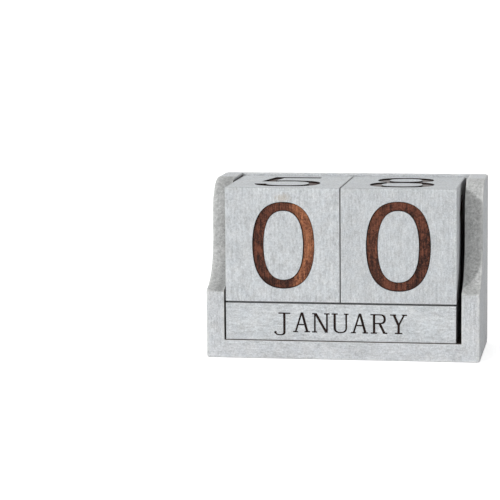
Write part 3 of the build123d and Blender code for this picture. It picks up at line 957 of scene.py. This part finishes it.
def islands(bm):
    """The separate bodies of a shape, each as a list of its points."""
    seen = set()
    for start in bm.verts:
        if start in seen:
            continue
        seen.add(start)
        island = [start]
        for vert in island:  # the list grows as it is walked
            for edge in vert.link_edges:
                other = edge.other_vert(vert)
                if other not in seen:
                    seen.add(other)
                    island.append(other)
        yield island


def nail_points(node):
    """A mesh with one point for each nail of a node of the model, at the surface of the wood."""
    nails = merged(node)
    centre = (CAD_BOX[0] + CAD_BOX[1]) / 2
    places, facings = [], []
    for island in islands(nails):
        low = Vector([min(vert.co[i] for vert in island) for i in range(3)])
        high = Vector([max(vert.co[i] for vert in island) for i in range(3)])
        size = high - low
        axis = max(range(3), key=lambda i: size[i])
        place = (low + high) / 2
        outward = place[axis] > centre[axis]
        place[axis] = CAD_BOX[outward][axis]
        facing = Vector((0, 0, 0))
        facing[axis] = 1 if outward else -1
        places.append(place)
        facings.append(facing)
    nails.free()
    mesh = bpy.data.meshes.new("nail_points")
    mesh.from_pydata(places, [], [])
    attribute = mesh.attributes.new("facing", "FLOAT_VECTOR", "POINT")
    for item, facing in zip(attribute.data, facings):
        item.vector = facing
    return mesh


def nail_sizes(nails, material, length):
    """The inputs of the nails' tree."""
    return {
        "Head Radius": nails.head_radius, "Head Height": nails.head_height,
        "Shank Radius": nails.shank_radius, "Length": length, "Sink": nails.sink,
        "Material": material,
    }


# ---------------------------------------------------------------------------------------------
# Blocks
# ---------------------------------------------------------------------------------------------

BURNT = 1  # place of the cut figures' material, after the paint
NUMERAL_DEPTH = 0.8 * MM  # of the model's cuts in the cubes
LETTER_DEPTH = 0.5 * MM  # and in the bars


def block_tree():
    """A block with rounded edges that are worn more in some spots than in others."""
    tree, graph, given = new_geometry("worn_block", {
        "Vector": ("Size", "Centre"),
        "Int": ("Cells X", "Cells Y", "Cells Z"),
        "Float": ("Edge Round", "Wear", "Wear Length", "Edge Zone", "Seed"),
        "Material": ("Material",),
    })
    raw = graph.add("GeometryNodeMeshCube", {}, {
        "Size": given["Size"], "Vertices X": given["Cells X"] + 1,
        "Vertices Y": given["Cells Y"] + 1, "Vertices Z": given["Cells Z"] + 1}, "Mesh")
    half = given["Size"] * 0.5
    share = graph.add("GeometryNodeInputPosition") / half
    spread = share * (2 - abs(share)) * half  # rows crowd towards the edges
    spot = (spread + given["Centre"]) / given["Wear Length"] + given["Seed"]
    rough = graph.noise(spot, 1.0, 3, 0.6).ease(0.35, 0.75)
    radius = given["Edge Round"] * (1 + given["Wear"] * rough)
    inner = half - radius
    core = spread.most(-inner).least(inner)
    away = (spread - core).direction()
    inside = half - abs(spread)  # distances to the three pairs of faces
    distances = [inside.part(axis) for axis in "XYZ"]
    nearest = distances[0].least(distances[1]).least(distances[2])
    furthest = distances[0].most(distances[1]).most(distances[2])
    to_edge = distances[0] + distances[1] + distances[2] - nearest - furthest
    marked = graph.add("GeometryNodeStoreNamedAttribute", {"data_type": "FLOAT"}, {
        "Geometry": raw, "Name": "edge", "Value": to_edge.ease(given["Edge Zone"], 0.0)})
    placed = graph.add("GeometryNodeSetPosition", {}, {
        "Geometry": marked, "Position": core + away * radius + given["Centre"]})
    end_geometry(graph, placed, given["Material"])
    return tree


def model_copy(node):
    """A closed copy of a node's mesh from the model."""
    bm = merged(node)
    bm.verts.index_update()
    faces = [[vert.index for vert in face.verts] for face in bm.faces]
    mesh = bpy.data.meshes.new(node + "_copy")
    mesh.from_pydata([vert.co for vert in bm.verts], [], faces)
    bm.free()
    return mesh


def char_and_shade_rims(mesh, low, high, depth, rim):
    """Mark the walls of the cut figures as burnt dark, which also paints their shade, and a rim of
    their floors beside the walls.
    """
    bm = bmesh.new()
    bm.from_mesh(mesh)
    layer = bm.verts.layers.float.new("char")
    centre, half = (low + high) / 2, (high - low) / 2
    floors = []
    for face in bm.faces:
        if face.material_index != BURNT:
            continue
        for vert in face.verts:
            vert[layer] = 1.0
        axis = max(range(3), key=lambda i: abs(face.normal[i]))
        level = half[axis] - abs(face.calc_center_median()[axis] - centre[axis])
        if abs(face.normal[axis]) > 0.99 and abs(level - depth) < AT_FACE:
            floors.append(face)
    if rim:
        bmesh.ops.inset_region(
            bm, faces=floors, thickness=rim, use_boundary=True, use_even_offset=True)
        for face in floors:
            for vert in face.verts:
                vert[layer] = 0.0
    bm.to_mesh(mesh)
    bm.free()


def cut_block(tree, node, blocks, cells, seed, paint, burnt, depth, rim, drop=0.0):
    """A worn block in a node's place, with the figures that the model cuts into that node."""
    low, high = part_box(node)
    skin = Vector((1, 1, 1)) * blocks.skin
    block_low, block_high = low + skin, high - skin - Vector((0, 0, drop))
    values = {
        "Size": block_high - block_low, "Centre": (block_low + block_high) / 2,
        "Cells X": cells[0], "Cells Y": cells[1], "Cells Z": cells[2],
        "Edge Round": blocks.edge_round, "Wear": blocks.wear,
        "Wear Length": blocks.wear_length, "Edge Zone": EDGE_ZONE,
        "Seed": float(seed), "Material": paint,
    }
    block = dress(grown(tree, values), paint)
    block.materials.append(burnt)
    mesh = cut(block, "INTERSECT", dress(model_copy(node), paint, burnt))
    # the walls of the cuts and a rim of the numerals' floors are painted dark, partly as shade
    char_and_shade_rims(mesh, low, high, depth, rim)
    return mesh


# ---------------------------------------------------------------------------------------------
# Operators
# ---------------------------------------------------------------------------------------------


class CALENDAR_OT_tray(bpy.types.Operator):
    """Make the tray: two shaped sides, the base and the back panel"""

    bl_idname = "calendar.make_tray"
    bl_label = "Make Tray"

    def execute(self, context):
        tray = context.scene.calendar_tray
        holes = self.nail_holes(context.scene.calendar_nails)
        _, high, board, panel_front = (value / MM for value in frame_sizes())
        inner = high.x - board  # from the middle to a side's inner face
        below_rim = ("Z", high.z - 0.3, high.z - 1.8)  # where the paint ends inside the tray
        left, right, base, panel = (
            make(tray, seed) for seed, make in
            enumerate((side_mesh, side_mesh, base_mesh, panel_mesh), BOARD_SEED))
        bmesh.ops.scale(right, vec=(-1, 1, 1), verts=right.verts)
        bmesh.ops.reverse_faces(right, faces=right.faces)
        # each board's shape, its grain, and the ranges in millimetres past which its wood is dark
        # and unpainted, which also paints the shade in the gaps
        boards = {
            "left_side": (left, "Z", [
                ("X", -inner - 0.3, -inner - 0.1), below_rim]),
            "right_side": (right, "Z", [("X", inner + 0.3, inner + 0.1), below_rim]),
            "base_board": (base, "X", [("Z", board - 0.25, board - 0.05)]),
            "back_panel": (panel, "X", [
                ("Y", panel_front + 0.25, panel_front + 0.05),
                ("Z", high.z - 2.5, high.z - 5.0)]),
        }
        for seed, (node, (bm, grain, inside)) in enumerate(boards.items(), BOARD_SEED):
            mesh = to_mesh(bm, node)
            for hole in holes:
                mesh = cut(mesh, "DIFFERENCE", hole.copy())
            # the left side's sawn tone is partly uneven paint and partly painted shade
            tone, painted_shade_by_cube = 1.0, None
            if node == "left_side":
                # painted shade of the cube on the left side's shaped edge
                tone, painted_shade_by_cube = tray.left_sawn_tone_and_shade, (-inner - board * 0.75, -inner, tray.painted_shade_by_cube)
            paint = BrushedPaint(node + "_paint", grain, seed)
            paint.coat(tray.paint, tuple(tone * value for value in tray.sawn), painted_shade_by_cube=painted_shade_by_cube)
            # the dark wood inside the tray is also painted shade for the gaps
            paint.leave_bare_as_shade(tray.bare_and_shade, inside)
            finish_piece(
                "worn_" + node, dress(mesh, paint.finished()), "tray", node)
        return {"FINISHED"}

    @staticmethod
    def nail_holes(nails):
        """What the nail heads take out of the boards."""
        sizes = nail_sizes(nails, None, HOLE_ROOM)
        sizes["Head Radius"] += HOLE_ROOM
        sizes["Head Height"] = 2 * nails.sink + HOLE_ROOM
        sizes["Sink"] = -nails.sink
        tree = nail_tree()
        return [grown(tree, sizes, nail_points(node)) for node in NAIL_LENGTH]


# Beside the middle of each cube, where the golden side of its zero starts and ends, in
# millimetres, and how golden it is.
GOLDEN_SIDES = {"tens_cube": (3.0, 8.0, 1.0), "units_cube": (-4.0, -14.0, 0.12)}
SCORCH_RISE = 22.5  # millimetres from the middle of the tens cube up to its scorched spot


class CALENDAR_OT_cubes(bpy.types.Operator):
    """Make the two date cubes"""

    bl_idname = "calendar.make_cubes"
    bl_label = "Make Date Cubes"

    def execute(self, context):
        blocks = context.scene.calendar_blocks
        tree = block_tree()
        cells = (blocks.cube_cells,) * 3
        for seed, (node, (start, end, strength)) in enumerate(GOLDEN_SIDES.items(), CUBE_SEED):
            low, high = (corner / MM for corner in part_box(node))
            centre = (low + high) / 2
            # the tone of the paint, the soot of the upper figure and the side that meets the
            # other cube
            tone, soot, meeting = 1.0, blocks.soot_dark, high.x
            if node == "units_cube":
                tone, soot, meeting = blocks.dulled, blocks.soot, low.x
            colour = tuple(tone * value for value in blocks.paint)
            paint = BrushedPaint(node + "_paint", "Z", seed)
            paint.coat(colour, colour, blocks.rub_and_highlight)
            if node == "tens_cube":
                paint.scorch((centre.x, low.y, centre.z + SCORCH_RISE))
            # painted shade along the cube's seams and its top edge
            paint.line_seams_with_shade([
                ("Z", low.z, 0.4, 1.0), ("Z", high.z, 0.1, 0.25), ("X", meeting, 0.1, 0.9)])
            golden = (centre.x + start, centre.x + end, low.y + 2.0, strength)
            burnt = burnt_material(node + "_burn", seed, blocks, golden, (high.z - 1.0, soot))
            mesh = cut_block(
                tree, node, blocks, cells, seed, paint.finished(), burnt, NUMERAL_DEPTH,
                blocks.rim)
            finish_piece("worn_" + node, mesh, node + "_body", node)
        return {"FINISHED"}


class CALENDAR_OT_bars(bpy.types.Operator):
    """Make the three month bars"""

    bl_idname = "calendar.make_bars"
    bl_label = "Make Month Bars"

    def execute(self, context):
        blocks = context.scene.calendar_blocks
        tree = block_tree()
        cells = (blocks.bar_cells, blocks.bar_side_cells, blocks.bar_side_cells)
        burnt = burnt_material("name_burn", NAME_SEED, blocks)
        for seed, place in enumerate(("front", "middle", "back"), BAR_SEED):
            node = "month_bar_" + place
            drop = blocks.bar_drop if place == "front" else 0.0
            low, high = (corner.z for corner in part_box(node))
            paint = BrushedPaint(node + "_paint", "X", seed)
            paint.coat(blocks.paint, blocks.paint, blocks.rub_and_highlight)
            # painted shade along the bar's seams
            paint.line_seams_with_shade([
                ("Z", low / MM, 0.05, 0.7), ("Z", (high - drop) / MM, 0.1, 1.0)])
            mesh = cut_block(
                tree, node, blocks, cells, seed, paint.finished(), burnt, LETTER_DEPTH, 0, drop)
            finish_piece("worn_" + node, mesh, place + "_bar_body", node)
        return {"FINISHED"}


class CALENDAR_OT_nails(bpy.types.Operator):
    """Make the pin nails of the mitres and of the back panel"""

    bl_idname = "calendar.make_nails"
    bl_label = "Make Pin Nails"

    def execute(self, context):
        nails = context.scene.calendar_nails
        tree = nail_tree()
        steel = nail_material(nails.steel)
        for node, length in NAIL_LENGTH.items():
            mesh = dress(grown(tree, nail_sizes(nails, steel, length), nail_points(node)), steel)
            finish_piece("pinned_" + node, mesh, "tray", node)
        return {"FINISHED"}


FLOOR_DROP = 0.05 * MM  # the floor lies this far below the underside, so they don't coincide
SENSOR_WIDTH = 36.0  # of the camera, in millimetres


class CALENDAR_OT_stage(bpy.types.Operator):
    """Make the floor, the studio light and the camera"""

    bl_idname = "calendar.make_stage"
    bl_label = "Make Stage"

    def execute(self, context):
        scene = context.scene
        stage = scene.calendar_stage
        self.make_floor(stage)
        self.make_sky(scene, stage)
        self.make_lamps(stage)
        self.make_camera(scene, stage)
        scene.view_settings.view_transform = "Standard"
        return {"FINISHED"}

    @staticmethod
    def make_floor(stage):
        """A plain pale floor that looks white and keeps the calendar's shadow."""
        half = stage.floor_size / 2
        corners = [
            (x * half, y * half, -FLOOR_DROP) for x, y in ((-1, -1), (1, -1), (1, 1), (-1, 1))]
        mesh = bpy.data.meshes.new("floor")
        mesh.from_pydata(corners, [], [(0, 1, 2, 3)])
        material, graph = new_material("floor_paper")
        lift = graph.mix(graph.in_view(), (0.0, 0.0, 0.0), (stage.floor_lift,) * 3)
        finish_material(graph, {
            "Base Color": stage.floor_paint, "Roughness": 0.9, "Specular IOR Level": 0.1,
            "Emission Color": lift, "Emission Strength": 1.0})
        mesh.materials.append(material)
        new_object("floor", mesh)

    @staticmethod
    def make_sky(scene, stage):
        """Even light from all round, in front of a white background."""
        world = bpy.data.worlds.new("studio")
        world.use_nodes = True
        world.node_tree.nodes.clear()
        graph = Graph(world.node_tree)
        level = stage.sky_level + graph.in_view() * (1 - stage.sky_level)
        sky = graph.add("ShaderNodeBackground", {}, {"Color": (1.0, 1.0, 1.0), "Strength": level})
        graph.node("ShaderNodeOutputWorld", {}, {"Surface": sky})
        scene.world = world

    @staticmethod
    def make_lamps(stage):
        """Far lamps. A level of 1 shows a colour as written on a face turned to the lamp."""
        radians = math.radians
        lamps = (  # name, level, angle to the reader's right, height and apparent size
            ("key", stage.key_level, -stage.key_azimuth, stage.key_elevation, radians(7)),
            ("front", stage.front_level, radians(-14), radians(14), radians(20)),
            ("side", stage.side_level, radians(112), radians(16), radians(50)),
            ("top", stage.top_level, 0.0, radians(80), radians(50)),
            ("back", stage.back_level, radians(205), radians(35), radians(50)),
        )
        for name, strength, azimuth, elevation, angle in lamps:
            level = math.cos(elevation)
            way = Vector((
                math.sin(azimuth) * level, -math.cos(azimuth) * level, math.sin(elevation)))
            data = bpy.data.lights.new(name, "SUN")
            data.energy = strength * math.pi
            data.angle = angle
            lamp = new_object(name, data)
            lamp.matrix_world = way.to_track_quat("Z", "Y").to_matrix().to_4x4()

    @staticmethod
    def make_camera(scene, stage):
        """The camera, from its place and its three turns."""
        yaw, pitch, roll = stage.camera_yaw, stage.camera_pitch, stage.camera_roll
        right = Vector((math.cos(yaw), math.sin(yaw), 0))
        level = Vector((-math.sin(yaw), math.cos(yaw), 0))
        rise = Vector((0, 0, 1))
        ahead = level * math.cos(pitch) - rise * math.sin(pitch)
        above = level * math.sin(pitch) + rise * math.cos(pitch)
        across = right * math.cos(roll) + above * math.sin(roll)
        upward = above * math.cos(roll) - right * math.sin(roll)
        turn = Matrix((across, upward, -ahead)).transposed().to_4x4()
        data = bpy.data.cameras.new("reader")
        data.sensor_fit = "HORIZONTAL"
        data.sensor_width = SENSOR_WIDTH
        data.lens = stage.camera_lens
        data.clip_start = 0.05
        camera = new_object("reader", data)
        camera.matrix_world = Matrix.Translation(stage.camera_place) @ turn
        scene.camera = camera


class CALENDAR_PT_pieces(bpy.types.Panel):
    """Pieces of the desk calendar"""

    bl_idname = "CALENDAR_PT_pieces"
    bl_label = "Desk Calendar"
    bl_space_type = "VIEW_3D"
    bl_region_type = "UI"
    bl_category = "Calendar"

    def draw(self, context):
        for group, settings, operators in PANEL_ROWS:
            box = self.layout.box()
            box.label(text=group)
            values = getattr(context.scene, settings)
            for name in values.bl_rna.properties.keys():
                if name not in {"rna_type", "name"}:
                    box.prop(values, name)
            for operator in operators:
                box.operator(operator)


PANEL_ROWS = (
    ("Tray", "calendar_tray", ("calendar.make_tray",)),
    ("Cubes and Bars", "calendar_blocks", ("calendar.make_cubes", "calendar.make_bars")),
    ("Pin Nails", "calendar_nails", ("calendar.make_nails",)),
    ("Stage", "calendar_stage", ("calendar.make_stage",)),
)
SETTINGS = {
    "calendar_tray": TraySettings,
    "calendar_blocks": BlockSettings,
    "calendar_nails": NailSettings,
    "calendar_stage": StageSettings,
}
CLASSES = (
    *SETTINGS.values(),
    CALENDAR_OT_tray,
    CALENDAR_OT_cubes,
    CALENDAR_OT_bars,
    CALENDAR_OT_nails,
    CALENDAR_OT_stage,
    CALENDAR_PT_pieces,
)


def register():
    """Give Blender the classes and the scene its settings."""
    for cls in CLASSES:
        bpy.utils.register_class(cls)
    for name, group in SETTINGS.items():
        setattr(bpy.types.Scene, name, PointerProperty(type=group))


def unregister():
    """Take them away again."""
    for name in SETTINGS:
        delattr(bpy.types.Scene, name)
    for cls in reversed(CLASSES):
        bpy.utils.unregister_class(cls)


def main():
    """Make the whole calendar and its stage."""
    register()
    bpy.ops.calendar.make_stage()
    bpy.ops.calendar.make_tray()
    bpy.ops.calendar.make_cubes()
    bpy.ops.calendar.make_bars()
    bpy.ops.calendar.make_nails()


if __name__ == "__main__":
    main()
